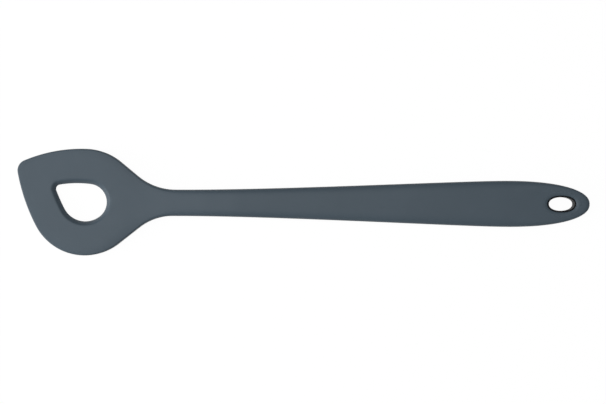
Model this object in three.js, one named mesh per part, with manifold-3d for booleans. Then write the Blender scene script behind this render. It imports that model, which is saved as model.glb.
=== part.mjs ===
// Silicone spoon with a pointed stirring hole: a soft skin moulded over a stiff core.
// Millimetres. The head points to -X, the butt of the handle to +X, the dished front faces +Z
// and the flat back lies on z = 0.
import * as THREE from "three";
import { mergeVertices } from "three/addons/utils/BufferGeometryUtils.js";
import ManifoldModule from "manifold-3d";

// Overall size
const LENGTH = 290;
const HEAD_WIDTH = 54.1;
const GRIP_THICKNESS = 9;
const HEAD_THICKNESS = 6.6;
const LIP_THICKNESS = 4.2;

// Head outline: three circles joined by tangent arcs, with straight flanks down to the neck.
// Places are measured from the head end.
const HEAD_ABOVE_AXIS = 0.2;
const CROWN_RADIUS = 27.9;
const CROWN_FROM_END = 34;
const BELLY_RADIUS = 27.5;
const BELLY_FROM_END = 33.95;
const TIP_RADIUS = 5.6;
const TIP_ABOVE_AXIS = 16.2;
const TOP_EDGE_RADIUS = 75.5;
const SIDE_EDGE_RADIUS = 96.6;
const UPPER_FLANK_DEGREES = 41.3;
const LOWER_FLANK_DEGREES = 39.6;
const UPPER_NECK_FILLET = 35;
const LOWER_NECK_FILLET = 31;

// Stirring hole: a round end of two circles and a pointed end, joined by tangent arcs
const HOLE_BELLY_RADIUS = 12.8;
const HOLE_BELLY_FROM_END = 34.35;
const HOLE_BELLY_ABOVE_AXIS = 3.05;
const HOLE_CROWN_RADIUS = 9.3;
const HOLE_JOIN_DEGREES = -52;
const HOLE_TIP_RADIUS = 2.2;
const HOLE_TIP_FROM_END = 20.85;
const HOLE_TIP_ABOVE_AXIS = 6.85;
const HOLE_TOP_RADIUS = 53.5;
const HOLE_SIDE_RADIUS = 90;

// Handle outline: a slow swelling from the neck to the grip, then an oval butt
const NECK_FROM_END = 83;
const NECK_HALF_WIDTH = 6.69;
const GRIP_HALF_WIDTH = 11.67;
const BUTT_LENGTH = 41.4;
const NECK_EASE = 0.32;
const GRIP_EASE = 0.145;
const BUTT_POWER = 2.3;
const SECTION_POWER = 4;
const BUTT_FLATNESS = 40;

// Rolled edges, the gentle fall to the rim and the shallow dish of the head
const EDGE_ROLL = 1.2;
const EDGE_FALL_RUN = 5;
const EDGE_FALL_SHARE = 0.12;
const HOLE_ROLL = 2.8;
const HOLE_DROP = 1.5;
const HOLE_ROLL_POWER = 1.6;
const DISH_DEPTH = 0.8;
const DISH_RADIUS = 25;
const LIP_RUN = 45;
const NECK_RUN = 60;

// Hanging eye and the collar of the core that lines it
const EYE_LENGTH = 13.1;
const EYE_WIDTH = 6.9;
const EYE_FROM_BUTT = 14.37;
const EYE_POWER = 2.2;
const COLLAR_WALL = 0.65;
const COLLAR_RECESS = 0.15;
const EYE_RIM_ROLL = 1.8;
const EYE_RIM_DROP = 0.35;

// Stiff core inside the skin
const BOND_GAP = 0.3;
const LIP_COVER = 9;
const HOLE_COVER = 3;
const BUTT_COVER = 5;
const BAR_WIDTH_SHARE = 0.64;
const PLATE_BACK_COVER = 1.3;
const PLATE_THICKNESS = 1.9;
const BAR_THICKNESS = 4.6;
const BAR_END_THICKNESS = 2.2;
const PLATE_TIP_RADIUS = 2.5;
const RAMP_RUN = 53;
const BAR_TAPER_RUN = 30;

// Openings of the core that the silicone flows through to lock front to back
const SLOT_COUNT = 5;
const SLOT_LENGTH = 18;
const SLOT_SHARE = 0.42;
const KEY_COUNT = 7;
const KEY_SHARE = 0.3087;

// Fineness of the meshes
const ACROSS = 12;
const CURVE_STEPS = 48;

// Places that follow from the sizes above
const HEAD_END = -LENGTH / 2;
const BUTT_END = LENGTH / 2;
const NECK_X = HEAD_END + NECK_FROM_END;
const GRIP_X = BUTT_END - BUTT_LENGTH;
const EYE_X = BUTT_END - EYE_FROM_BUTT;
const BLEND_RUN = 28;
const BLEND_X = NECK_X - BLEND_RUN;
const EYE_PATCH_X = EYE_X - EYE_LENGTH;
const EYE_OPENING = COLLAR_WALL + BOND_GAP;

const point = (x, y) => new THREE.Vector2(x, y);
const mix = (a, b, t) => a + (b - a) * t;

function smooth(t) {
  const s = Math.min(Math.max(t, 0), 1);
  return s * s * (3 - 2 * s);
}

// Crossing of two circles on the left of the line from the first centre to the second
function crossing(first, firstRadius, second, secondRadius) {
  const span = second.clone().sub(first);
  const length = span.length();
  const along = (firstRadius ** 2 - secondRadius ** 2 + length ** 2) / (2 * length);
  const aside = Math.sqrt(Math.max(firstRadius ** 2 - along ** 2, 0));
  const unit = span.divideScalar(length);
  return point(
    first.x + unit.x * along - unit.y * aside,
    first.y + unit.y * along + unit.x * aside,
  );
}

// Points of an arc from one direction to another, without its last point
function arcPoints(centre, radius, from, to, steps, turn) {
  const start = from.angle();
  const sweep = THREE.MathUtils.euclideanModulo(turn * (to.angle() - start), 2 * Math.PI);
  return Array.from({ length: steps }, (_, i) => {
    const angle = start + (turn * sweep * i) / steps;
    return point(centre.x + radius * Math.cos(angle), centre.y + radius * Math.sin(angle));
  });
}

// Points of a straight line, without its last point
function linePoints(from, to, steps) {
  return Array.from({ length: steps }, (_, i) => from.clone().lerp(to, i / steps));
}

const direction = (from, to) => to.clone().sub(from).normalize();

// Circles of the head and of the hole
const crown = point(HEAD_END + CROWN_FROM_END, HEAD_ABOVE_AXIS + HEAD_WIDTH / 2 - CROWN_RADIUS);
const belly = point(HEAD_END + BELLY_FROM_END, HEAD_ABOVE_AXIS - HEAD_WIDTH / 2 + BELLY_RADIUS);
const tip = point(HEAD_END + TIP_RADIUS, TIP_ABOVE_AXIS);
const topEdge = crossing(crown, TOP_EDGE_RADIUS - CROWN_RADIUS, tip, TOP_EDGE_RADIUS - TIP_RADIUS);
const sideEdge = crossing(tip, SIDE_EDGE_RADIUS - TIP_RADIUS, belly, SIDE_EDGE_RADIUS - BELLY_RADIUS);
const holeJoin = point(1, 0).rotateAround(point(0, 0), THREE.MathUtils.degToRad(HOLE_JOIN_DEGREES));
const holeBelly = point(HEAD_END + HOLE_BELLY_FROM_END, HOLE_BELLY_ABOVE_AXIS);
const holeCrown = holeBelly.clone().addScaledVector(holeJoin, HOLE_BELLY_RADIUS - HOLE_CROWN_RADIUS);
const holeTip = point(HEAD_END + HOLE_TIP_FROM_END, HOLE_TIP_ABOVE_AXIS);
const holeTop = crossing(
  holeCrown,
  HOLE_TOP_RADIUS - HOLE_CROWN_RADIUS,
  holeTip,
  HOLE_TOP_RADIUS - HOLE_TIP_RADIUS,
);
const holeSide = crossing(
  holeTip,
  HOLE_SIDE_RADIUS - HOLE_TIP_RADIUS,
  holeBelly,
  HOLE_SIDE_RADIUS - HOLE_BELLY_RADIUS,
);
const holeMiddle = holeCrown.clone().lerp(holeTip, 0.15);

// Flank of the head: a straight line that touches the crown or the belly and, lower down, the
// fillet that leads into the neck
function flank(circle, radius, degrees, fillet, side) {
  const slope = THREE.MathUtils.degToRad(degrees);
  const outward = point(Math.sin(slope), side * Math.cos(slope));
  const y = side * (NECK_HALF_WIDTH + fillet);
  const centre = point((outward.dot(circle) + radius + fillet - outward.y * y) / outward.x, y);
  const high = circle.clone().addScaledVector(outward, radius);
  const low = centre.clone().addScaledVector(outward, -fillet);
  return { circle, radius, fillet, centre, outward, inward: outward.clone().negate(), high, low };
}
const upperFlank = flank(crown, CROWN_RADIUS, UPPER_FLANK_DEGREES, UPPER_NECK_FILLET, 1);
const lowerFlank = flank(belly, BELLY_RADIUS, LOWER_FLANK_DEGREES, LOWER_NECK_FILLET, -1);

// Outline of the head from the upper end of the neck round to the lower end
function headOutline() {
  const up = point(0, 1);
  const down = point(0, -1);
  return [
    ...arcPoints(upperFlank.centre, UPPER_NECK_FILLET, down, upperFlank.inward, 7, -1),
    ...linePoints(upperFlank.low, upperFlank.high, 4),
    ...arcPoints(crown, CROWN_RADIUS, upperFlank.outward, direction(topEdge, crown), 12, 1),
    ...arcPoints(topEdge, TOP_EDGE_RADIUS, direction(topEdge, crown), direction(topEdge, tip), 10, 1),
    ...arcPoints(tip, TIP_RADIUS, direction(topEdge, tip), direction(sideEdge, tip), 8, 1),
    ...arcPoints(sideEdge, SIDE_EDGE_RADIUS, direction(sideEdge, tip), direction(sideEdge, belly), 9, 1),
    ...arcPoints(belly, BELLY_RADIUS, direction(sideEdge, belly), lowerFlank.outward, 18, 1),
    ...linePoints(lowerFlank.high, lowerFlank.low, 4),
    ...arcPoints(lowerFlank.centre, LOWER_NECK_FILLET, lowerFlank.inward, up, 7, -1),
    point(lowerFlank.centre.x, -NECK_HALF_WIDTH),
  ];
}

// Outline of the hole, set out by a margin
function holeOutline(margin) {
  const toTop = direction(holeTop, holeCrown);
  const toTipTop = direction(holeTop, holeTip);
  const toTipSide = direction(holeSide, holeTip);
  const toSide = direction(holeSide, holeBelly);
  return [
    ...arcPoints(holeBelly, HOLE_BELLY_RADIUS + margin, toSide, holeJoin, 12, 1),
    ...arcPoints(holeCrown, HOLE_CROWN_RADIUS + margin, holeJoin, toTop, 18, 1),
    ...arcPoints(holeTop, HOLE_TOP_RADIUS + margin, toTop, toTipTop, 6, 1),
    ...arcPoints(holeTip, HOLE_TIP_RADIUS + margin, toTipTop, toTipSide, 8, 1),
    ...arcPoints(holeSide, HOLE_SIDE_RADIUS + margin, toTipSide, toSide, 8, 1),
  ];
}

// Half width of the handle at x: a Bezier curve with level ends, then the oval butt
function halfWidth(x) {
  if (x <= NECK_X) {
    return NECK_HALF_WIDTH;
  }
  if (x >= GRIP_X) {
    const run = Math.min((x - GRIP_X) / BUTT_LENGTH, 1);
    return GRIP_HALF_WIDTH * (1 - run ** BUTT_POWER) ** (1 / BUTT_POWER);
  }
  const target = (x - NECK_X) / (GRIP_X - NECK_X);
  let low = 0;
  let high = 1;
  for (let i = 0; i < 40; i += 1) {
    const t = (low + high) / 2;
    const along = 3 * (1 - t) ** 2 * t * NECK_EASE + 3 * (1 - t) * t * t * (1 - GRIP_EASE) + t ** 3;
    if (along < target) {
      low = t;
    } else {
      high = t;
    }
  }
  return mix(NECK_HALF_WIDTH, GRIP_HALF_WIDTH, smooth(low));
}

// Half width of the flare between neck and head, on the side where y lies
function flareWidth(x, y) {
  const { circle, radius, fillet, centre, high, low } = y > 0 ? upperFlank : lowerFlank;
  if (x >= centre.x) {
    return halfWidth(x);
  }
  if (x > low.x) {
    return Math.abs(centre.y) - Math.sqrt(fillet ** 2 - (x - centre.x) ** 2);
  }
  if (x > high.x) {
    return Math.abs(mix(low.y, high.y, (x - low.x) / (high.x - low.x)));
  }
  return Math.abs(circle.y + Math.sign(y) * Math.sqrt(radius ** 2 - (x - circle.x) ** 2));
}

// Shortest distance from a place in plan to a chain of points
function distanceTo(chain, x, y) {
  let best = Infinity;
  for (let i = 1; i < chain.length; i += 1) {
    const a = chain[i - 1];
    const dx = chain[i].x - a.x;
    const dy = chain[i].y - a.y;
    const along = ((x - a.x) * dx + (y - a.y) * dy) / (dx * dx + dy * dy);
    const t = Math.min(Math.max(along, 0), 1);
    best = Math.min(best, Math.hypot(x - a.x - dx * t, y - a.y - dy * t));
  }
  return best;
}

const headChain = headOutline();
const holeChain = holeOutline(0);
holeChain.push(holeChain[0]);

// Crest height of the front along the length, above the flat back
function crest(x) {
  const head = mix(LIP_THICKNESS, HEAD_THICKNESS, smooth((x - HEAD_END) / LIP_RUN));
  return mix(head, GRIP_THICKNESS, smooth((x - BLEND_X) / NECK_RUN));
}

// Edge measure: 1 on the outline, 0 where the roll of the edge has run out.
// The head measures distance from its outline, the handle its place across the section.
function edgeMeasure(x, y, distance) {
  if (x >= GRIP_X) {
    const run = (x - GRIP_X) / BUTT_LENGTH;
    const butt = run ** BUTT_POWER + (Math.abs(y) / GRIP_HALF_WIDTH) ** BUTT_POWER;
    return butt ** ((SECTION_POWER + BUTT_FLATNESS * run * run) / BUTT_POWER);
  }
  const rolled = Math.max(0, 1 - distance / EDGE_ROLL);
  const across = x > BLEND_X ? Math.abs(y) / flareWidth(x, y) : rolled;
  return mix(rolled, across, smooth((x - BLEND_X) / BLEND_RUN)) ** SECTION_POWER;
}

// Drop of both faces into the hole, with a soft start and an almost straight end
function holeDrop(distance) {
  return HOLE_DROP * Math.max(0, 1 - distance / HOLE_ROLL) ** HOLE_ROLL_POWER;
}

// Front and back heights of the skin at a place in plan
function skinHeights(x, y, onEdge = false) {
  const top = crest(x);
  const parting = top / 2;
  if (onEdge) {
    return { front: parting, back: parting };
  }
  const inHead = x < NECK_X;
  const distance = inHead ? distanceTo(headChain, x, y) : 0;
  const rise = Math.max(0, 1 - edgeMeasure(x, y, distance)) ** (1 / SECTION_POWER);
  const drop = inHead ? holeDrop(distanceTo(holeChain, x, y)) : 0;
  const headShare = 1 - smooth((x - BLEND_X) / BLEND_RUN);
  const fall = EDGE_FALL_SHARE * headShare * Math.max(0, 1 - distance / EDGE_FALL_RUN) ** 2;
  const dish = DISH_DEPTH * (1 - smooth(Math.hypot(x - belly.x, y) / DISH_RADIUS));
  return {
    front: parting + (parting - dish) * rise * (1 - fall) - drop,
    back: parting - parting * rise + drop,
  };
}

// Oval of the eye, set out by a margin
function eyeOval(angle, margin) {
  const power = 2 / EYE_POWER;
  const c = Math.cos(angle);
  const s = Math.sin(angle);
  return point(
    EYE_X + (EYE_LENGTH / 2 + margin) * Math.sign(c) * Math.abs(c) ** power,
    (EYE_WIDTH / 2 + margin) * Math.sign(s) * Math.abs(s) ** power,
  );
}

// Place where a ray from the middle of a closed outline leaves it
function rayHit(outline, middle, toward) {
  const ray = direction(middle, toward);
  for (let i = 0; i < outline.length; i += 1) {
    const a = outline[i].clone().sub(middle);
    const b = outline[(i + 1) % outline.length].clone().sub(middle);
    const first = ray.cross(a);
    const second = ray.cross(b);
    if (first <= 0 && second > 0 && ray.dot(a) + ray.dot(b) > 0) {
      return a.lerp(b, first / (first - second)).add(middle);
    }
  }
  throw new Error("the ray does not meet the outline");
}

// Triangle list that collects front and back sheets and their side walls
class Sheets {
  constructor() {
    this.positions = [];
  }

  triangle(a, b, c) {
    this.positions.push(...a, ...b, ...c);
  }

  quad(a, b, c, d) {
    this.triangle(a, b, c);
    this.triangle(a, c, d);
  }

  // Rows of nodes {x, y, front, back}, running so that the front faces up
  patch(rows) {
    const front = (n) => [n.x, n.y, n.front];
    const back = (n) => [n.x, n.y, n.back];
    for (let i = 1; i < rows.length; i += 1) {
      for (let j = 1; j < rows[i].length; j += 1) {
        const corners = [rows[i - 1][j - 1], rows[i][j - 1], rows[i][j], rows[i - 1][j]];
        this.quad(...corners.map(front));
        this.quad(...corners.reverse().map(back));
      }
    }
  }

  // Upright wall from front to back along a row of nodes
  wall(nodes) {
    for (let i = 1; i < nodes.length; i += 1) {
      const a = nodes[i - 1];
      const b = nodes[i];
      this.quad([a.x, a.y, a.front], [b.x, b.y, b.front], [b.x, b.y, b.back], [a.x, a.y, a.back]);
    }
  }

  geometry() {
    const made = new THREE.BufferGeometry();
    made.setAttribute("position", new THREE.Float32BufferAttribute(this.positions, 3));
    return made;
  }
}

// Places across a section from -1 to 1, closer together towards both edges
const acrossStations = Array.from({ length: ACROSS + 1 }, (_, k) => {
  const even = (2 * k) / ACROSS - 1;
  return Math.sign(even) * (1 - (1 - Math.abs(even)) ** 3);
});
const rollSteps = [0, 0.1, 0.4, 1];

// Places along a ray: close together in both rolls, even between them
function raySteps(length, innerRoll, outerRoll, between) {
  const inner = rollSteps.map((s) => s * innerRoll);
  const outer = rollSteps.map((s) => length - s * outerRoll).reverse();
  const low = inner.at(-1);
  const high = outer[0];
  const middle = Array.from({ length: between }, (_, i) => mix(low, high, (i + 1) / (between + 1)));
  return [...inner, ...middle, ...outer];
}

// Head: rays from the rim of the hole to the outline and to the cut across the neck, and the wall
// of the hole
function headPatch(sheets) {
  const cut = acrossStations.map((s) => {
    return { at: point(NECK_X, s * NECK_HALF_WIDTH), free: Math.abs(s) < 1 };
  });
  const rim = headChain.map((p) => ({ at: p, free: false }));
  const ends = [...cut, ...rim, cut[0]];
  const rows = ends.map(({ at, free }) => {
    const start = rayHit(holeChain, holeMiddle, at);
    const span = at.clone().sub(start);
    const length = span.length();
    const steps = raySteps(length, HOLE_ROLL, EDGE_ROLL, 4);
    return steps.map((s, j) => {
      const last = j === steps.length - 1;
      const place = last ? at : start.clone().addScaledVector(span, s / length);
      return { x: place.x, y: place.y, ...skinHeights(place.x, place.y, last && !free) };
    });
  });
  sheets.patch(rows.map((row) => row.slice().reverse()));
  sheets.wall(rows.map((row) => row[0]));
}

// Handle: sections across, from the neck cut to the cut before the eye
function handlePatch(sheets) {
  const steps = 22;
  const rows = Array.from({ length: steps + 1 }, (_, i) => {
    const x = mix(NECK_X, EYE_PATCH_X, i / steps);
    return acrossStations.map((s) => {
      const y = s * halfWidth(x);
      return { x, y, ...skinHeights(x, y, Math.abs(s) === 1) };
    });
  });
  sheets.patch(rows);
}

// Butt: rays from the opening of the eye to the outline and to the cut across the handle, and the
// wall of the opening
function buttPatch(sheets) {
  const steps = 28;
  const cutHalf = halfWidth(EYE_PATCH_X);
  const cut = acrossStations.map((s) => ({ at: point(EYE_PATCH_X, -s * cutHalf), free: Math.abs(s) < 1 }));
  const start = (EYE_PATCH_X - GRIP_X) / BUTT_LENGTH;
  const startAngle = Math.acos(start ** (BUTT_POWER / 2));
  const rim = Array.from({ length: steps - 1 }, (_, i) => {
    const angle = mix(-startAngle, startAngle, (i + 1) / steps);
    const c = Math.cos(angle) ** (2 / BUTT_POWER);
    const s = Math.sign(angle) * Math.abs(Math.sin(angle)) ** (2 / BUTT_POWER);
    return { at: point(GRIP_X + BUTT_LENGTH * c, GRIP_HALF_WIDTH * s), free: false };
  });
  const opening = Array.from({ length: 96 }, (_, i) => eyeOval((2 * Math.PI * i) / 96, EYE_OPENING));
  const middle = point(EYE_X, 0);
  const ends = [...cut, ...rim, cut[0]];
  const rows = ends.map(({ at, free }) => {
    const from = rayHit(opening, middle, at);
    const span = at.clone().sub(from);
    const length = span.length();
    const places = raySteps(length, Math.min(EYE_RIM_ROLL, length / 3), Math.min(EDGE_ROLL, length / 3), 1);
    return places.map((s, j) => {
      const last = j === places.length - 1;
      const place = last ? at : from.clone().addScaledVector(span, s / length);
      const heights = skinHeights(place.x, place.y, last && !free);
      const drop = EYE_RIM_DROP * Math.max(0, 1 - s / EYE_RIM_ROLL) ** 2;
      return { x: place.x, y: place.y, front: heights.front - drop, back: heights.back + drop };
    });
  });
  sheets.patch(rows.map((row) => row.slice().reverse()));
  sheets.wall(rows.map((row) => row[0]));
}

// Collar of the core: an oval tube whose ends follow the skin just below its rim
function collarGeometry() {
  const sheets = new Sheets();
  const sink = EYE_RIM_DROP + COLLAR_RECESS;
  const node = (angle, margin) => {
    const place = eyeOval(angle, margin);
    const heights = skinHeights(place.x, place.y);
    return { x: place.x, y: place.y, front: heights.front - sink, back: heights.back + sink };
  };
  const turns = Array.from({ length: CURVE_STEPS + 1 }, (_, i) => (i % CURVE_STEPS) / CURVE_STEPS);
  const angles = turns.map((turn) => 2 * Math.PI * turn);
  const rows = angles.map((angle) => [node(angle, COLLAR_WALL), node(angle, 0)]);
  sheets.patch(rows);
  sheets.wall(rows.map((row) => row[1]));
  sheets.wall(rows.map((row) => row[0]).reverse());
  return sheets.geometry();
}

// Joining and cutting of closed bodies
const solid = await ManifoldModule();
solid.setup();

function toSolid(geometry) {
  const bare = new THREE.BufferGeometry();
  bare.setAttribute("position", geometry.getAttribute("position"));
  if (geometry.index) {
    bare.setIndex(geometry.index);
  }
  const merged = mergeVertices(bare, 1e-4);
  return new solid.Manifold(new solid.Mesh({
    numProp: 3,
    vertProperties: new Float32Array(merged.getAttribute("position").array),
    triVerts: new Uint32Array(merged.index.array),
  }));
}

function toMesh(body, name, material) {
  const shape = body.getMesh();
  const geometry = new THREE.BufferGeometry();
  geometry.setAttribute("position", new THREE.BufferAttribute(new Float32Array(shape.vertProperties), 3));
  geometry.setIndex(new THREE.BufferAttribute(new Uint32Array(shape.triVerts), 1));
  geometry.computeVertexNormals();
  const mesh = new THREE.Mesh(geometry, material);
  mesh.name = name;
  return mesh;
}

// Upright prism over a plan outline, taller than the spoon
const PRISM_LOW = -GRIP_THICKNESS;
const PRISM_HEIGHT = 3 * GRIP_THICKNESS;

function prism(outline) {
  const options = { depth: PRISM_HEIGHT, bevelEnabled: false };
  return toSolid(new THREE.ExtrudeGeometry(new THREE.Shape(outline), options).translate(0, 0, PRISM_LOW));
}

// Plate of the core in the head, grown by a margin on every side
function plateOutline(margin) {
  const cover = LIP_COVER - margin;
  const tipRadius = PLATE_TIP_RADIUS + margin;
  const reach = cover + tipRadius;
  const plateTip = crossing(topEdge, TOP_EDGE_RADIUS - reach, sideEdge, SIDE_EDGE_RADIUS - reach);
  const corner = crossing(belly, BELLY_RADIUS - cover, crown, CROWN_RADIUS - cover);
  const otherCorner = crossing(crown, CROWN_RADIUS - cover, belly, BELLY_RADIUS - cover);
  const right = corner.x > otherCorner.x ? corner : otherCorner;
  const toTop = direction(topEdge, crown);
  const toSide = direction(sideEdge, belly);
  const tipTop = direction(topEdge, plateTip);
  const tipSide = direction(sideEdge, plateTip);
  return [
    ...arcPoints(crown, CROWN_RADIUS - cover, direction(crown, right), toTop, 12, 1),
    ...arcPoints(topEdge, TOP_EDGE_RADIUS - cover, toTop, tipTop, 7, 1),
    ...arcPoints(plateTip, tipRadius, tipTop, tipSide, 6, 1),
    ...arcPoints(sideEdge, SIDE_EDGE_RADIUS - cover, tipSide, toSide, 7, 1),
    ...arcPoints(belly, BELLY_RADIUS - cover, toSide, direction(belly, right), 16, 1),
  ];
}

// Bar of the core in the handle, grown by a margin on every side
const BAR_START = holeCrown.x + HOLE_CROWN_RADIUS + HOLE_COVER + (LIP_COVER - HOLE_COVER) / 4;

const barHalfWidth = (x) => halfWidth(x) * BAR_WIDTH_SHARE;

function barOutline(margin) {
  const buttLength = BUTT_LENGTH - BUTT_COVER + margin;
  const buttHalf = barHalfWidth(GRIP_X) + margin;
  const along = Array.from({ length: 17 }, (_, i) => mix(NECK_X, GRIP_X, i / 16));
  const upper = [
    point(BAR_START - margin, barHalfWidth(NECK_X) + margin),
    ...along.map((x) => point(x, barHalfWidth(x) + margin)),
  ];
  const lower = upper.map((p) => point(p.x, -p.y));
  const steps = 24;
  const butt = Array.from({ length: steps - 1 }, (_, i) => {
    const angle = mix(-Math.PI / 2, Math.PI / 2, (i + 1) / steps);
    const c = Math.cos(angle) ** (2 / BUTT_POWER);
    const s = Math.sign(angle) * Math.abs(Math.sin(angle)) ** (2 / BUTT_POWER);
    return point(GRIP_X + buttLength * c, buttHalf * s);
  });
  return [...lower, ...butt, ...upper.reverse()];
}

// Side profile of the core: thin plate, ramp in the neck, bar, taper round the eye
function profilePrism(margin) {
  const rampStart = BAR_START;
  const rampEnd = rampStart + RAMP_RUN;
  const taperEnd = BUTT_END;
  const taperStart = taperEnd - BAR_TAPER_RUN;
  const plateTop = PLATE_BACK_COVER + PLATE_THICKNESS + margin;
  const middle = GRIP_THICKNESS / 2;
  const bar = BAR_THICKNESS / 2 + margin;
  const barEnd = BAR_END_THICKNESS / 2 + margin;
  const shape = new THREE.Shape([
    point(HEAD_END, PLATE_BACK_COVER - margin),
    point(rampStart, PLATE_BACK_COVER - margin),
    point(rampEnd, middle - bar),
    point(taperStart, middle - bar),
    point(taperEnd, middle - barEnd),
    point(taperEnd, middle + barEnd),
    point(taperStart, middle + bar),
    point(rampEnd, middle + bar),
    point(rampStart, plateTop),
    point(HEAD_END, plateTop),
  ]);
  const geometry = new THREE.ExtrudeGeometry(shape, { depth: 2 * HEAD_WIDTH, bevelEnabled: false });
  return toSolid(geometry.translate(0, 0, -HEAD_WIDTH).rotateX(Math.PI / 2));
}

// Slots along the bar and round holes round the plate, both smaller by the margin
function slotOutline(index, margin) {
  const x = mix(NECK_X, GRIP_X, (index + 0.5) / SLOT_COUNT);
  const slotHalf = barHalfWidth(x) * SLOT_SHARE;
  const radius = slotHalf - margin;
  const straight = SLOT_LENGTH / 2 - slotHalf;
  const up = point(0, 1);
  const down = point(0, -1);
  return [
    ...arcPoints(point(x + straight, 0), radius, down, up, 8, 1),
    point(x + straight, radius),
    ...arcPoints(point(x - straight, 0), radius, up, down, 8, 1),
    point(x - straight, -radius),
  ];
}

// Middle and width of the plate's band, between the hole and the lip, where a round hole lies
function keyPlace(index) {
  const angle = mix(Math.PI / 3, (5 * Math.PI) / 3, index / (KEY_COUNT - 1));
  const toward = holeMiddle.clone().add(point(Math.cos(angle), Math.sin(angle)));
  const inner = rayHit(holeOutline(HOLE_COVER), holeMiddle, toward);
  const outer = rayHit(plateOutline(0), holeMiddle, toward);
  return { centre: inner.clone().lerp(outer, 0.5), width: inner.distanceTo(outer) };
}
const keyPlaces = Array.from({ length: KEY_COUNT }, (_, index) => keyPlace(index));
const keyRadius = KEY_SHARE * Math.min(...keyPlaces.map((place) => place.width));

function keyOutline(index, margin) {
  const { centre } = keyPlaces[index];
  return arcPoints(centre, keyRadius - margin, point(1, 0), point(1, -1e-9), 14, 1);
}

// Core without its collar, or the room for it in the skin when grown by a margin
function coreBody(margin) {
  let plan = prism(plateOutline(margin)).add(prism(barOutline(margin)));
  plan = plan.subtract(prism(holeOutline(HOLE_COVER - margin)));
  for (let i = 0; i < SLOT_COUNT; i += 1) {
    plan = plan.subtract(prism(slotOutline(i, margin)));
  }
  for (let i = 0; i < KEY_COUNT; i += 1) {
    plan = plan.subtract(prism(keyOutline(i, margin)));
  }
  return plan.intersect(profilePrism(margin));
}

// Outer form of the skin, then the room for the core taken out of it
const outerSheets = new Sheets();
headPatch(outerSheets);
handlePatch(outerSheets);
buttPatch(outerSheets);
const skin = toSolid(outerSheets.geometry()).subtract(coreBody(BOND_GAP));

// Core with the collar that lines the hanging eye
const ovalSteps = Array.from({ length: CURVE_STEPS }, (_, i) => (2 * Math.PI * i) / CURVE_STEPS);
const eyeCut = prism(ovalSteps.map((angle) => eyeOval(angle, COLLAR_WALL / 2)));
const core = coreBody(0).subtract(eyeCut).add(toSolid(collarGeometry()));

const silicone = new THREE.MeshStandardMaterial({ color: 0x525d65, roughness: 0.55, metalness: 0 });
silicone.name = "silicone";
const nylon = new THREE.MeshStandardMaterial({ color: 0x1b1d20, roughness: 0.5, metalness: 0 });
nylon.name = "nylon";

const spoon = new THREE.Group();
spoon.name = "silicone_spoon";
spoon.add(toMesh(skin, "silicone_skin", silicone), toMesh(core, "stiff_core", nylon));

export default spoon;
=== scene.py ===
"""Looks of the silicone spoon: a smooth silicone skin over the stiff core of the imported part.

Lengths are millimetres until a mesh is made. The head points to -X, the butt of the handle to +X,
the dished front of the head faces +Z and the flat back lies on z = 0.
"""

import math

import bpy
import numpy as np
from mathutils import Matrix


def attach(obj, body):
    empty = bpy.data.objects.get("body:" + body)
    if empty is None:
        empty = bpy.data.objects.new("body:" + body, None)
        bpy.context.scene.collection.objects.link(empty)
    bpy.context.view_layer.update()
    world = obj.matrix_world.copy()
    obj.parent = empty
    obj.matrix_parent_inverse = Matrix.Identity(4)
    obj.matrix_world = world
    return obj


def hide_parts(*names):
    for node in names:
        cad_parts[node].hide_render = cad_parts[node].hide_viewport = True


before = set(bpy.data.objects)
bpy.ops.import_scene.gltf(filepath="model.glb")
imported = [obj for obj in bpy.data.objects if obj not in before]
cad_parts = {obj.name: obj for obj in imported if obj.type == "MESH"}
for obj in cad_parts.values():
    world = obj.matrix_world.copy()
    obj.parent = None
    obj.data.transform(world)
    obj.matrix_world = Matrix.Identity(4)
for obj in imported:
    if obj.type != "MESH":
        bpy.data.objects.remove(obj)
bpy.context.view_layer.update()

# Overall size
LENGTH = 290.0
HEAD_WIDTH = 54.1
GRIP_THICKNESS = 9.0
HEAD_THICKNESS = 6.6
LIP_THICKNESS = 4.2

# Head outline: three circles joined by tangent arcs, with straight flanks down to the neck.
# Places are measured from the head end.
HEAD_ABOVE_AXIS = 0.2
CROWN_RADIUS = 28.4
CROWN_FROM_END = 34.5
BELLY_RADIUS = 28.1
BELLY_FROM_END = 34.3
TIP_RADIUS = 5.6
TIP_ABOVE_AXIS = 16.2
TOP_EDGE_RADIUS = 75.5
SIDE_EDGE_RADIUS = 96.6
UPPER_FLANK = math.radians(39.5)
LOWER_FLANK = math.radians(38.3)
UPPER_NECK_FILLET = 30.1
LOWER_NECK_FILLET = 27.3

# Stirring hole: a round end of two circles and a pointed end, joined by tangent arcs
HOLE_BELLY_RADIUS = 12.0
HOLE_BELLY_FROM_END = 34.5
HOLE_BELLY_ABOVE_AXIS = 2.45
HOLE_CROWN_RADIUS = 9.2
HOLE_JOIN = math.radians(-52.0)
HOLE_TIP_RADIUS = 2.2
HOLE_TIP_FROM_END = 21.75
HOLE_TIP_ABOVE_AXIS = 6.9
HOLE_TOP_RADIUS = 53.5
HOLE_SIDE_RADIUS = 90.0
HOLE_MIDDLE_SHARE = 0.15

# Handle outline: a slow swelling from the neck to the grip, then an oval butt
NECK_FROM_END = 83.0
NECK_HALF_WIDTH = 6.69
GRIP_HALF_WIDTH = 11.67
BUTT_LENGTH = 41.4
NECK_EASE = 0.32
GRIP_EASE = 0.145
BUTT_POWER = 2.25

# Section across the handle: a squarish oval that gets flatter on top along the butt
SECTION_POWER = 4.0
BUTT_FLATNESS = 60.0

# Rolled edges, the gentle fall to the rim and the shallow dish of the head
EDGE_ROLL = 1.2
EDGE_FALL_RUN = 5.0
EDGE_FALL_SHARE = 0.12
HOLE_ROLL = 2.3
HOLE_DROP_SHARE = 0.85
HOLE_ROLL_POWER = 1.6
DISH_DEPTH = 0.8
DISH_RADIUS = 25.0
LIP_RUN = 45.0
NECK_RUN = 60.0
BLEND_RUN = 28.0

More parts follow.
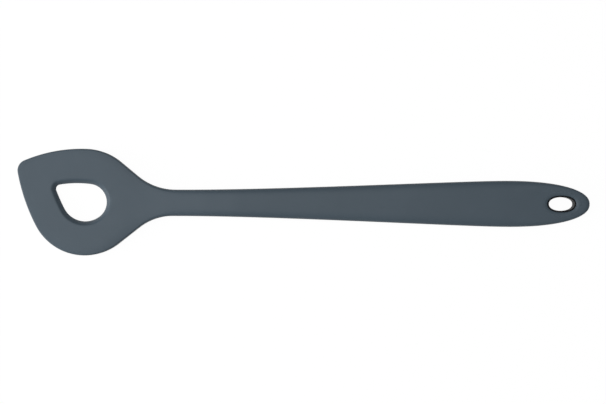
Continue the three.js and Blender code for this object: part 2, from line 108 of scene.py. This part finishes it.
# Opening of the skin round the hanging eye
EYE_LENGTH = 14.6
EYE_WIDTH = 8.4
EYE_FROM_BUTT = 14.37
EYE_POWER = 2.2
EYE_RIM_ROLL = 1.8
EYE_RIM_DROP = 0.35
EYE_RIM_ROUND = 0.3

# Steps of the grids and limits of the reckoning
ACROSS_STEPS = 44
HANDLE_STEPS = 170
BUTT_STEPS = 150
ROLL_STEPS = 12
WALL_STEPS = 8
HEAD_STEPS = 22
BUTT_BETWEEN = 8
ARC_STEP = 0.55
LEAST_ARC_STEPS = 6
HALVINGS = 45
ANGLE_SLACK = 1e-9
SEAM_DIGITS = 6
SHARP_ANGLE = math.radians(55)
METRES = 0.001

# Places that follow from the sizes above
HEAD_END = -LENGTH / 2
BUTT_END = LENGTH / 2
NECK_X = HEAD_END + NECK_FROM_END
GRIP_X = BUTT_END - BUTT_LENGTH
BLEND_X = NECK_X - BLEND_RUN
EYE_X = BUTT_END - EYE_FROM_BUTT
EYE_PATCH_X = EYE_X - EYE_LENGTH

# Picture: the frame of the photograph at the height of the spoon's outline
PICTURE_WIDTH = 307.2
CAMERA_HEIGHT = 800.0
CAMERA_AIM = (0.07, 0.62)
CAMERA_ROLL = 0.00313
SENSOR_WIDTH = 36.0

# Studio, in metres and watts
FLOOR_HALF = 2.0
FLOOR_BELOW = 0.0006
WORLD_STRENGTH = 0.19
LAMP_SIZE = 0.9
LAMP_AIM = (-0.05, 0.0, 0.0)
OVERHEAD_PLACE = (-0.3, 0.1, 1.2)
OVERHEAD_POWER = 7.1
LEFT_KEY_PLACE = (-1.2, -0.25, 0.36)
LEFT_KEY_POWER = 13.0

# Linear colours
SILICONE_DEEP = (0.0717, 0.0976, 0.1214, 1.0)
SILICONE_PALE = (0.0764, 0.1039, 0.1290, 1.0)
NYLON_DEEP = (0.0070, 0.0076, 0.0088, 1.0)
NYLON_PALE = (0.0105, 0.0114, 0.0130, 1.0)
FLOOR_GREY = (0.4, 0.4, 0.4, 1.0)
WHITE = (1.0, 1.0, 1.0, 1.0)


def smooth(t):
    """Cubic step from 0 to 1: 3 t^2 - 2 t^3, held outside."""
    t = np.clip(t, 0.0, 1.0)
    return t * t * (3.0 - 2.0 * t)


def mix(a, b, t):
    """Straight blend: a at t = 0 and b at t = 1."""
    return a + (b - a) * t


def crossing(first, first_radius, second, second_radius):
    """Crossing of two circles on the left of the line from the first centre to the second."""
    span = second - first
    length = np.hypot(*span)
    along = (first_radius**2 - second_radius**2 + length**2) / (2.0 * length)
    aside = math.sqrt(max(first_radius**2 - along**2, 0.0))
    unit = span / length
    return first + unit * along + np.array([-unit[1], unit[0]]) * aside


def angle_of(start, end):
    """Direction of the line from start to end."""
    return math.atan2(end[1] - start[1], end[0] - start[0])


class Arc:
    """Part of a circle: centre + radius (cos a, sin a), with a running over a signed sweep."""

    def __init__(self, centre, radius, start, end, turn=1):
        self.centre = centre
        self.radius = radius
        self.start = start
        self.sweep = turn * ((turn * (end - start)) % (2.0 * math.pi))

    def points(self):
        steps = max(LEAST_ARC_STEPS, int(abs(self.sweep) * self.radius / ARC_STEP))
        angles = self.start + self.sweep * np.arange(steps) / steps
        return self.at(angles)

    def at(self, angles):
        ring = np.stack([np.cos(angles), np.sin(angles)], axis=-1)
        return self.centre + self.radius * ring

    def holds(self, x, y):
        """True where the direction from the centre lies within the sweep."""
        angles = np.arctan2(y - self.centre[1], x - self.centre[0])
        turned = (np.sign(self.sweep) * (angles - self.start)) % (2.0 * math.pi)
        return turned <= abs(self.sweep) + ANGLE_SLACK

    def distance(self, x, y):
        """Distance to the arc: to the circle inside the sweep, to the nearer end outside it."""
        to_circle = np.abs(np.hypot(x - self.centre[0], y - self.centre[1]) - self.radius)
        ends = self.at(np.array([self.start, self.start + self.sweep]))
        to_ends = np.minimum(
            np.hypot(x - ends[0, 0], y - ends[0, 1]),
            np.hypot(x - ends[1, 0], y - ends[1, 1]),
        )
        return np.where(self.holds(x, y), to_circle, to_ends)


class Line:
    """Straight part of an outline: start + t (end - start), with t from 0 to 1."""

    def __init__(self, start, end):
        self.start = start
        self.span = end - start

    def points(self):
        steps = max(LEAST_ARC_STEPS, int(np.hypot(*self.span) / ARC_STEP))
        return self.start + self.span * (np.arange(steps) / steps)[:, None]

    def distance(self, x, y):
        along = (x - self.start[0]) * self.span[0] + (y - self.start[1]) * self.span[1]
        t = np.clip(along / (self.span @ self.span), 0.0, 1.0)
        return np.hypot(x - self.start[0] - self.span[0] * t, y - self.start[1] - self.span[1] * t)


def distance_to(outline, x, y):
    """Least distance to the parts of an outline."""
    return np.min([part.distance(x, y) for part in outline], axis=0)


# Circles of the head and of the hole
crown = np.array([HEAD_END + CROWN_FROM_END, HEAD_ABOVE_AXIS + HEAD_WIDTH / 2 - CROWN_RADIUS])
belly = np.array([HEAD_END + BELLY_FROM_END, HEAD_ABOVE_AXIS - HEAD_WIDTH / 2 + BELLY_RADIUS])
tip = np.array([HEAD_END + TIP_RADIUS, TIP_ABOVE_AXIS])
top_edge = crossing(crown, TOP_EDGE_RADIUS - CROWN_RADIUS, tip, TOP_EDGE_RADIUS - TIP_RADIUS)
side_edge = crossing(tip, SIDE_EDGE_RADIUS - TIP_RADIUS, belly, SIDE_EDGE_RADIUS - BELLY_RADIUS)
hole_join = np.array([math.cos(HOLE_JOIN), math.sin(HOLE_JOIN)])
hole_belly = np.array([HEAD_END + HOLE_BELLY_FROM_END, HOLE_BELLY_ABOVE_AXIS])
hole_crown = hole_belly + (HOLE_BELLY_RADIUS - HOLE_CROWN_RADIUS) * hole_join
hole_tip = np.array([HEAD_END + HOLE_TIP_FROM_END, HOLE_TIP_ABOVE_AXIS])
hole_top = crossing(
    hole_crown,
    HOLE_TOP_RADIUS - HOLE_CROWN_RADIUS,
    hole_tip,
    HOLE_TOP_RADIUS - HOLE_TIP_RADIUS,
)
hole_side = crossing(
    hole_tip,
    HOLE_SIDE_RADIUS - HOLE_TIP_RADIUS,
    hole_belly,
    HOLE_SIDE_RADIUS - HOLE_BELLY_RADIUS,
)
hole_middle = mix(hole_crown, hole_tip, HOLE_MIDDLE_SHARE)


class Flank:
    """Straight line that touches the crown or the belly and, lower down, the fillet of the neck."""

    def __init__(self, circle, radius, slope, fillet, side):
        outward = np.array([math.sin(slope), side * math.cos(slope)])
        y = side * (NECK_HALF_WIDTH + fillet)
        x = (outward @ circle + radius + fillet - outward[1] * y) / outward[0]
        self.circle = circle
        self.radius = radius
        self.fillet = fillet
        self.side = side
        self.centre = np.array([x, y])
        self.outward = math.atan2(outward[1], outward[0])
        self.high = circle + radius * outward
        self.low = self.centre - fillet * outward

    def width(self, x):
        """Half width at x: round, then straight, then hollow."""
        over = np.sqrt(np.maximum(self.radius**2 - (x - self.circle[0]) ** 2, 0.0))
        round_part = np.abs(self.circle[1] + self.side * over)
        share = (x - self.low[0]) / (self.high[0] - self.low[0])
        straight = np.abs(mix(self.low[1], self.high[1], share))
        under = np.sqrt(np.maximum(self.fillet**2 - (x - self.centre[0]) ** 2, 0.0))
        hollow = abs(self.centre[1]) - under
        return np.where(x > self.low[0], hollow, np.where(x > self.high[0], straight, round_part))


upper_flank = Flank(crown, CROWN_RADIUS, UPPER_FLANK, UPPER_NECK_FILLET, 1)
lower_flank = Flank(belly, BELLY_RADIUS, LOWER_FLANK, LOWER_NECK_FILLET, -1)

UP = math.pi / 2
DOWN = -math.pi / 2
HEAD_OUTLINE = [
    Arc(upper_flank.centre, UPPER_NECK_FILLET, DOWN, upper_flank.outward + math.pi, -1),
    Line(upper_flank.low, upper_flank.high),
    Arc(crown, CROWN_RADIUS, upper_flank.outward, angle_of(top_edge, crown)),
    Arc(top_edge, TOP_EDGE_RADIUS, angle_of(top_edge, crown), angle_of(top_edge, tip)),
    Arc(tip, TIP_RADIUS, angle_of(top_edge, tip), angle_of(side_edge, tip)),
    Arc(side_edge, SIDE_EDGE_RADIUS, angle_of(side_edge, tip), angle_of(side_edge, belly)),
    Arc(belly, BELLY_RADIUS, angle_of(side_edge, belly), lower_flank.outward),
    Line(lower_flank.high, lower_flank.low),
    Arc(lower_flank.centre, LOWER_NECK_FILLET, lower_flank.outward + math.pi, UP, -1),
]
HOLE_ARCS = [
    Arc(hole_belly, HOLE_BELLY_RADIUS, angle_of(hole_side, hole_belly), HOLE_JOIN),
    Arc(hole_crown, HOLE_CROWN_RADIUS, HOLE_JOIN, angle_of(hole_top, hole_crown)),
    Arc(hole_top, HOLE_TOP_RADIUS, angle_of(hole_top, hole_crown), angle_of(hole_top, hole_tip)),
    Arc(hole_tip, HOLE_TIP_RADIUS, angle_of(hole_top, hole_tip), angle_of(hole_side, hole_tip)),
    Arc(hole_side, HOLE_SIDE_RADIUS, angle_of(hole_side, hole_tip), angle_of(hole_side, hole_belly)),
]


def half_width(x):
    """Half width of the handle: a Bezier curve with level ends from neck to grip, found by halving
    the interval of its parameter, then the oval butt b (1 - u^n)^(1/n)."""
    x = np.asarray(x, float)
    target = np.clip((x - NECK_X) / (GRIP_X - NECK_X), 0.0, 1.0)
    low = np.zeros_like(target)
    high = np.ones_like(target)
    for _ in range(HALVINGS):
        t = (low + high) / 2
        along = 3 * (1 - t) ** 2 * t * NECK_EASE + 3 * (1 - t) * t * t * (1 - GRIP_EASE) + t**3
        low = np.where(along < target, t, low)
        high = np.where(along < target, high, t)
    swelling = mix(NECK_HALF_WIDTH, GRIP_HALF_WIDTH, smooth(low))
    run = np.clip((x - GRIP_X) / BUTT_LENGTH, 0.0, 1.0)
    return swelling * (1.0 - run**BUTT_POWER) ** (1.0 / BUTT_POWER)


def flare_width(x, y):
    """Half width of the flare between neck and head, on the side where y lies."""
    width = half_width(x)
    for flank in (upper_flank, lower_flank):
        on_side = (y > 0) == (flank.side > 0)
        width = np.where(on_side & (x < flank.centre[0]), flank.width(x), width)
    return width


def crest(x):
    """Height of the front along the length: lip, head, then grip, joined by cubic steps."""
    head = mix(LIP_THICKNESS, HEAD_THICKNESS, smooth((x - HEAD_END) / LIP_RUN))
    return mix(head, GRIP_THICKNESS, smooth((x - BLEND_X) / NECK_RUN))


def edge_measure(x, y, distance):
    """1 on the outline and 0 where the roll of the edge has run out, to the power of the section.
    The head measures distance from its outline and the handle its place across the section. The butt
    takes its oval u^n + (y / b)^n to a power that grows with the run u."""
    rolled = np.maximum(0.0, 1.0 - distance / EDGE_ROLL)
    across = np.abs(y) / flare_width(np.clip(x, BLEND_X, GRIP_X), y)
    measure = mix(rolled, across, smooth((x - BLEND_X) / BLEND_RUN)) ** SECTION_POWER
    run = np.clip((x - GRIP_X) / BUTT_LENGTH, 0.0, 1.0)
    butt = run**BUTT_POWER + (np.abs(y) / GRIP_HALF_WIDTH) ** BUTT_POWER
    power = (SECTION_POWER + BUTT_FLATNESS * run**2) / BUTT_POWER
    return np.where(x >= GRIP_X, butt**power, measure)


def hole_drop(parting, distance):
    """Drop of both faces into the hole, a round-topped slope: h (1 - d / r)^n within the roll r."""
    rolled = np.maximum(0.0, 1.0 - distance / HOLE_ROLL)
    return HOLE_DROP_SHARE * parting * rolled**HOLE_ROLL_POWER


def skin_heights(x, y, on_edge):
    """Front and back of the skin over the plan: both leave the parting height at half the crest, rise
    by (1 - measure)^(1/n) and drop into the hole; the front falls a little more towards the rim of the
    head and is dished."""
    parting = crest(x) / 2
    in_head = x < NECK_X
    distance = np.where(in_head, distance_to(HEAD_OUTLINE, x, y), 0.0)
    rise = np.clip(1.0 - edge_measure(x, y, distance), 0.0, 1.0) ** (1.0 / SECTION_POWER)
    rise = np.where(on_edge, 0.0, rise)
    drop = np.where(in_head, hole_drop(parting, distance_to(HOLE_ARCS, x, y)), 0.0)
    head_share = 1.0 - smooth((x - BLEND_X) / BLEND_RUN)
    fall = EDGE_FALL_SHARE * head_share * np.maximum(0.0, 1.0 - distance / EDGE_FALL_RUN) ** 2
    dish = DISH_DEPTH * (1.0 - smooth(np.hypot(x - belly[0], y) / DISH_RADIUS))
    return parting + (parting - dish) * rise * (1.0 - fall) - drop, parting - parting * rise + drop


def hole_hits(toward):
    """Places where rays from the middle of the hole leave its outline."""
    ray = toward - hole_middle
    ray = ray / np.linalg.norm(ray, axis=1, keepdims=True)
    reach = np.zeros(len(ray))
    for arc in HOLE_ARCS:
        back = hole_middle - arc.centre
        half = ray @ back
        under_root = half**2 - (back @ back - arc.radius**2)
        far = -half + np.sqrt(np.maximum(under_root, 0.0))
        hit = hole_middle + ray * far[:, None]
        good = (under_root >= 0) & arc.holds(hit[:, 0], hit[:, 1])
        reach = np.where(good, far, reach)
    return hole_middle + ray * reach[:, None]


def roll_steps(roll):
    """Places from an edge over the width of its roll, close together at the edge: 1 - cos a."""
    return np.outer(roll, 1.0 - np.cos(np.linspace(0.0, math.pi / 2, ROLL_STEPS + 1)))


def ray_steps(length, inner_roll, outer_roll, between):
    """Places along rays: close together in both rolls, evenly spaced between them."""
    inner = roll_steps(inner_roll)
    outer = length[:, None] - roll_steps(outer_roll)[:, ::-1]
    share = np.arange(1, between + 1) / (between + 1)
    middle = mix(inner[:, -1:], outer[:, :1], share)
    return np.hstack([inner, middle, outer])


class Sheets:
    """Collects grids of points and the quads between them."""

    def __init__(self):
        self.points = []
        self.quads = []
        self.count = 0

    def grid(self, x, y, z, turned=False):
        rows, columns = x.shape
        index = np.arange(rows * columns).reshape(rows, columns) + self.count
        corners = [index[:-1, :-1], index[1:, :-1], index[1:, 1:], index[:-1, 1:]]
        if turned:
            corners.reverse()
        self.quads.append(np.stack(corners, axis=-1).reshape(-1, 4))
        self.points.append(np.stack([x, y, z], axis=-1).reshape(-1, 3))
        self.count += rows * columns

    def patch(self, x, y, front, back):
        self.grid(x, y, front)
        self.grid(x, y, back, turned=True)

    def wall(self, x, y, front, back):
        """Upright wall from front to back along a column of points."""
        down = np.linspace(0.0, 1.0, WALL_STEPS + 1)
        self.grid(np.repeat(x, len(down), 1), np.repeat(y, len(down), 1), mix(front, back, down))

    def mesh(self, name):
        """Joins equal points, so that the sheets share their seams, and makes the mesh in metres."""
        points = np.round(np.vstack(self.points), SEAM_DIGITS)
        points, same = np.unique(points, axis=0, return_inverse=True)
        quads = same.reshape(-1)[np.vstack(self.quads)]
        made = bpy.data.meshes.new(name)
        made.vertices.add(len(points))
        made.vertices.foreach_set("co", (points * METRES).astype(np.float32).ravel())
        made.loops.add(quads.size)
        made.loops.foreach_set("vertex_index", quads.astype(np.int32).ravel())
        made.polygons.add(len(quads))
        made.polygons.foreach_set("loop_start", np.arange(0, quads.size, 4, dtype=np.int32))
        made.polygons.foreach_set("use_smooth", np.ones(len(quads), bool))
        made.update(calc_edges=True)
        made.validate()
        made.set_sharp_from_angle(angle=SHARP_ANGLE)
        return made


# Places across a section from -1 to 1, close together at both edges: -cos a
STATIONS = -np.cos(np.linspace(0.0, math.pi, ACROSS_STEPS + 1))


def head_patch(sheets):
    """Rays from the rim of the hole to the outline of the head and to the cut across the neck, with
    points at start + share (end - start), and the wall of the hole."""
    cut = np.stack([np.full_like(STATIONS, NECK_X), STATIONS * NECK_HALF_WIDTH], axis=-1)
    last = [lower_flank.centre[0], -NECK_HALF_WIDTH]
    rim = np.vstack([part.points() for part in HEAD_OUTLINE] + [last])
    ends = np.vstack([cut, rim, cut[:1]])
    free = np.zeros(len(ends), bool)
    free[1:ACROSS_STEPS] = True
    starts = hole_hits(ends)
    span = ends - starts
    length = np.linalg.norm(span, axis=1)
    rolls = np.ones(len(ends))
    steps = ray_steps(length, HOLE_ROLL * rolls, EDGE_ROLL * rolls, HEAD_STEPS)
    share = steps / length[:, None]
    share[:, -1] = 1.0
    x = starts[:, :1] + span[:, :1] * share
    y = starts[:, 1:] + span[:, 1:] * share
    x[:, -1] = ends[:, 0]
    y[:, -1] = ends[:, 1]
    on_edge = np.zeros(x.shape, bool)
    on_edge[:, -1] = ~free
    front, back = skin_heights(x, y, on_edge)
    sheets.patch(x[:, ::-1], y[:, ::-1], front[:, ::-1], back[:, ::-1])
    sheets.wall(x[:, :1], y[:, :1], front[:, :1], back[:, :1])


def handle_patch(sheets):
    """Sections from the cut at the neck to the cut before the eye, with y a share of the half width."""
    along = np.linspace(NECK_X, EYE_PATCH_X, HANDLE_STEPS + 1)
    x = np.repeat(along[:, None], len(STATIONS), axis=1)
    y = half_width(x) * STATIONS
    on_edge = np.zeros(x.shape, bool)
    on_edge[:, [0, -1]] = True
    front, back = skin_heights(x, y, on_edge)
    sheets.patch(x, y, front, back)


def butt_patch(sheets):
    """Rays from the opening of the eye to the outline of the butt and to the cut across the handle,
    with points at middle + ray (inner + step), a soft rim that drops into the eye, and its wall."""
    cut = np.stack([np.full_like(STATIONS, EYE_PATCH_X), -STATIONS * half_width(EYE_PATCH_X)], axis=-1)
    start_angle = math.acos(((EYE_PATCH_X - GRIP_X) / BUTT_LENGTH) ** (BUTT_POWER / 2))
    angles = np.linspace(-start_angle, start_angle, BUTT_STEPS + 1)[1:-1]
    c = np.cos(angles) ** (2 / BUTT_POWER)
    s = np.sign(angles) * np.abs(np.sin(angles)) ** (2 / BUTT_POWER)
    rim = np.stack([GRIP_X + BUTT_LENGTH * c, GRIP_HALF_WIDTH * s], axis=-1)
    ends = np.vstack([cut, rim, cut[:1]])
    free = np.zeros(len(ends), bool)
    free[1:ACROSS_STEPS] = True
    middle = np.array([EYE_X, 0.0])
    ray = ends - middle
    full = np.linalg.norm(ray, axis=1)
    ray = ray / full[:, None]
    oval = np.abs(ray) / [EYE_LENGTH / 2, EYE_WIDTH / 2]
    inner = np.sum(oval**EYE_POWER, axis=1) ** (-1.0 / EYE_POWER)
    length = full - inner
    third = length / 3
    rim_roll = np.minimum(EYE_RIM_ROLL, third)
    edge_roll = np.minimum(EDGE_ROLL, third)
    steps = ray_steps(length, rim_roll, edge_roll, BUTT_BETWEEN)
    x = middle[0] + ray[:, :1] * (inner[:, None] + steps)
    y = middle[1] + ray[:, 1:] * (inner[:, None] + steps)
    x[:, -1] = ends[:, 0]
    y[:, -1] = ends[:, 1]
    on_edge = np.zeros(x.shape, bool)
    on_edge[:, -1] = ~free
    front, back = skin_heights(x, y, on_edge)
    soft = np.maximum(0.0, 1.0 - steps / EYE_RIM_ROLL) ** 2
    lip = np.clip(1.0 - steps / EYE_RIM_ROUND, 0.0, 1.0)
    drop = EYE_RIM_DROP * soft + EYE_RIM_ROUND * (1.0 - np.sqrt(1.0 - lip**2))
    front = front - drop
    back = back + drop
    sheets.patch(x[:, ::-1], y[:, ::-1], front[:, ::-1], back[:, ::-1])
    sheets.wall(x[:, :1], y[:, :1], front[:, :1], back[:, :1])


def add_nodes(material, *kinds):
    """Clears the material's nodes and adds its output and the named kinds."""
    material.use_nodes = True
    tree = material.node_tree
    tree.nodes.clear()
    output = tree.nodes.new("ShaderNodeOutputMaterial")
    made = [tree.nodes.new(kind) for kind in kinds]
    return tree, output, made


def set_noise(tree, place, noise, scale, detail):
    """Sets a noise on the coordinates of the piece itself."""
    noise.inputs["Scale"].default_value = scale
    noise.inputs["Detail"].default_value = detail
    tree.links.new(place.outputs["Object"], noise.inputs["Vector"])


def set_tint(tree, noise, tint, shader, deep, pale, margin):
    """Colours the shader between two near shades by a noise."""
    low, high = tint.color_ramp.elements
    low.position = margin
    low.color = deep
    high.position = 1.0 - margin
    high.color = pale
    tree.links.new(noise.outputs["Fac"], tint.inputs["Fac"])
    tree.links.new(tint.outputs["Color"], shader.inputs["Base Color"])


def set_gloss(tree, noise, gloss, shader, smoothest, roughest):
    """Spreads the roughness of the shader between two values by a noise."""
    gloss.inputs["To Min"].default_value = smoothest
    gloss.inputs["To Max"].default_value = roughest
    tree.links.new(noise.outputs["Fac"], gloss.inputs["Value"])
    tree.links.new(gloss.outputs["Result"], shader.inputs["Roughness"])


def silicone_material():
    """Dark blue-grey silicone: satin, with a faint cloudiness of colour, patchy gloss and the fine
    texture of a blasted mould."""
    material = bpy.data.materials.new("silicone")
    tree, output, made = add_nodes(
        material,
        "ShaderNodeBsdfPrincipled",
        "ShaderNodeTexCoord",
        "ShaderNodeTexNoise",
        "ShaderNodeValToRGB",
        "ShaderNodeTexNoise",
        "ShaderNodeMapRange",
        "ShaderNodeTexNoise",
        "ShaderNodeBump",
    )
    shader, place, cloud, tint, patch, gloss, grain, bump = made
    set_noise(tree, place, cloud, 35.0, 3.0)
    set_tint(tree, cloud, tint, shader, SILICONE_DEEP, SILICONE_PALE, 0.3)
    set_noise(tree, place, patch, 180.0, 4.0)
    set_gloss(tree, patch, gloss, shader, 0.4, 0.5)
    set_noise(tree, place, grain, 4200.0, 2.0)
    link = tree.links.new
    link(grain.outputs["Fac"], bump.inputs["Height"])
    bump.inputs["Strength"].default_value = 0.12
    bump.inputs["Distance"].default_value = 0.00004
    link(bump.outputs["Normal"], shader.inputs["Normal"])
    shader.inputs["Specular IOR Level"].default_value = 0.22
    link(shader.outputs["BSDF"], output.inputs["Surface"])
    return material


def nylon_material():
    """Black glass-filled nylon: dull, with a faint grain of colour and gloss."""
    material = bpy.data.materials.new("nylon")
    tree, output, made = add_nodes(
        material,
        "ShaderNodeBsdfPrincipled",
        "ShaderNodeTexCoord",
        "ShaderNodeTexNoise",
        "ShaderNodeValToRGB",
        "ShaderNodeMapRange",
    )
    shader, place, grain, tint, gloss = made
    set_noise(tree, place, grain, 900.0, 4.0)
    set_tint(tree, grain, tint, shader, NYLON_DEEP, NYLON_PALE, 0.35)
    set_gloss(tree, grain, gloss, shader, 0.48, 0.62)
    shader.inputs["Specular IOR Level"].default_value = 0.12
    tree.links.new(shader.outputs["BSDF"], output.inputs["Surface"])
    return material


def floor_material():
    """Pale floor that is almost pure white to the camera and in reflections, and still takes a trace
    of the spoon's shadow."""
    material = bpy.data.materials.new("pale_floor")
    tree, output, made = add_nodes(
        material,
        "ShaderNodeBsdfDiffuse",
        "ShaderNodeEmission",
        "ShaderNodeLightPath",
        "ShaderNodeMath",
        "ShaderNodeMath",
        "ShaderNodeMath",
        "ShaderNodeMixShader",
    )
    pale, white, path, direct, seen, share, blend = made
    link = tree.links.new
    pale.inputs["Color"].default_value = FLOOR_GREY
    white.inputs["Color"].default_value = WHITE
    white.inputs["Strength"].default_value = 1.08
    direct.operation = "MAXIMUM"
    link(path.outputs["Is Camera Ray"], direct.inputs[0])
    link(path.outputs["Is Glossy Ray"], direct.inputs[1])
    seen.operation = "MAXIMUM"
    link(direct.outputs["Value"], seen.inputs[0])
    link(path.outputs["Is Transmission Ray"], seen.inputs[1])
    share.operation = "MULTIPLY"
    share.inputs[1].default_value = 0.9
    link(seen.outputs["Value"], share.inputs[0])
    link(share.outputs["Value"], blend.inputs["Fac"])
    link(pale.outputs["BSDF"], blend.inputs[1])
    link(white.outputs["Emission"], blend.inputs[2])
    link(blend.outputs["Shader"], output.inputs["Surface"])
    return material


def add_object(name, mesh, material):
    """Object at the origin, with one material."""
    made = bpy.data.objects.new(name, mesh)
    mesh.materials.append(material)
    bpy.context.scene.collection.objects.link(made)
    return made


def add_skin():
    """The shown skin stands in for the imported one."""
    sheets = Sheets()
    head_patch(sheets)
    handle_patch(sheets)
    butt_patch(sheets)
    skin = add_object("skin", sheets.mesh("skin"), silicone_material())
    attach(skin, "root")
    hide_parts("silicone_skin")


def finish_core():
    """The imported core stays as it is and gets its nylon."""
    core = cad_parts["stiff_core"]
    core.data.materials.clear()
    core.data.materials.append(nylon_material())


def add_floor():
    """Square just below the back of the spoon."""
    x = FLOOR_HALF * np.array([-1, 1, 1, -1])
    y = FLOOR_HALF * np.array([-1, -1, 1, 1])
    mesh = bpy.data.meshes.new("floor")
    mesh.from_pydata(np.stack([x, y, np.full(4, -FLOOR_BELOW)], axis=-1), [], [(0, 1, 2, 3)])
    add_object("floor", mesh, floor_material())


def add_lamp(name, place, power):
    """Square soft lamp at a place, turned to the spoon."""
    data = bpy.data.lights.new(name, "AREA")
    data.shape = "SQUARE"
    data.size = LAMP_SIZE
    data.energy = power
    lamp = bpy.data.objects.new(name, data)
    lamp.location = place
    away = np.array(place) - np.array(LAMP_AIM)
    away = away / np.linalg.norm(away)
    lamp.rotation_euler = (math.acos(away[2]), 0.0, math.atan2(away[1], away[0]) + math.pi / 2)
    bpy.context.scene.collection.objects.link(lamp)


def add_light():
    """Pale surroundings and two lamps."""
    world = bpy.data.worlds.new("studio")
    bpy.context.scene.world = world
    world.use_nodes = True
    background = world.node_tree.nodes["Background"]
    background.inputs["Color"].default_value = WHITE
    background.inputs["Strength"].default_value = WORLD_STRENGTH
    add_lamp("overhead", OVERHEAD_PLACE, OVERHEAD_POWER)
    add_lamp("left_key", LEFT_KEY_PLACE, LEFT_KEY_POWER)


def add_camera():
    """Camera straight above the spoon that spans the picture's width at half the grip's thickness."""
    data = bpy.data.cameras.new("camera")
    data.sensor_width = SENSOR_WIDTH
    data.lens = SENSOR_WIDTH * CAMERA_HEIGHT / PICTURE_WIDTH
    camera = bpy.data.objects.new("camera", data)
    camera.location = np.array([*CAMERA_AIM, CAMERA_HEIGHT + GRIP_THICKNESS / 2]) * METRES
    camera.rotation_euler = (0.0, 0.0, CAMERA_ROLL)
    bpy.context.scene.collection.objects.link(camera)
    bpy.context.scene.camera = camera


add_skin()
finish_core()
add_floor()
add_light()
add_camera()
bpy.context.scene.view_settings.view_transform = "Standard"
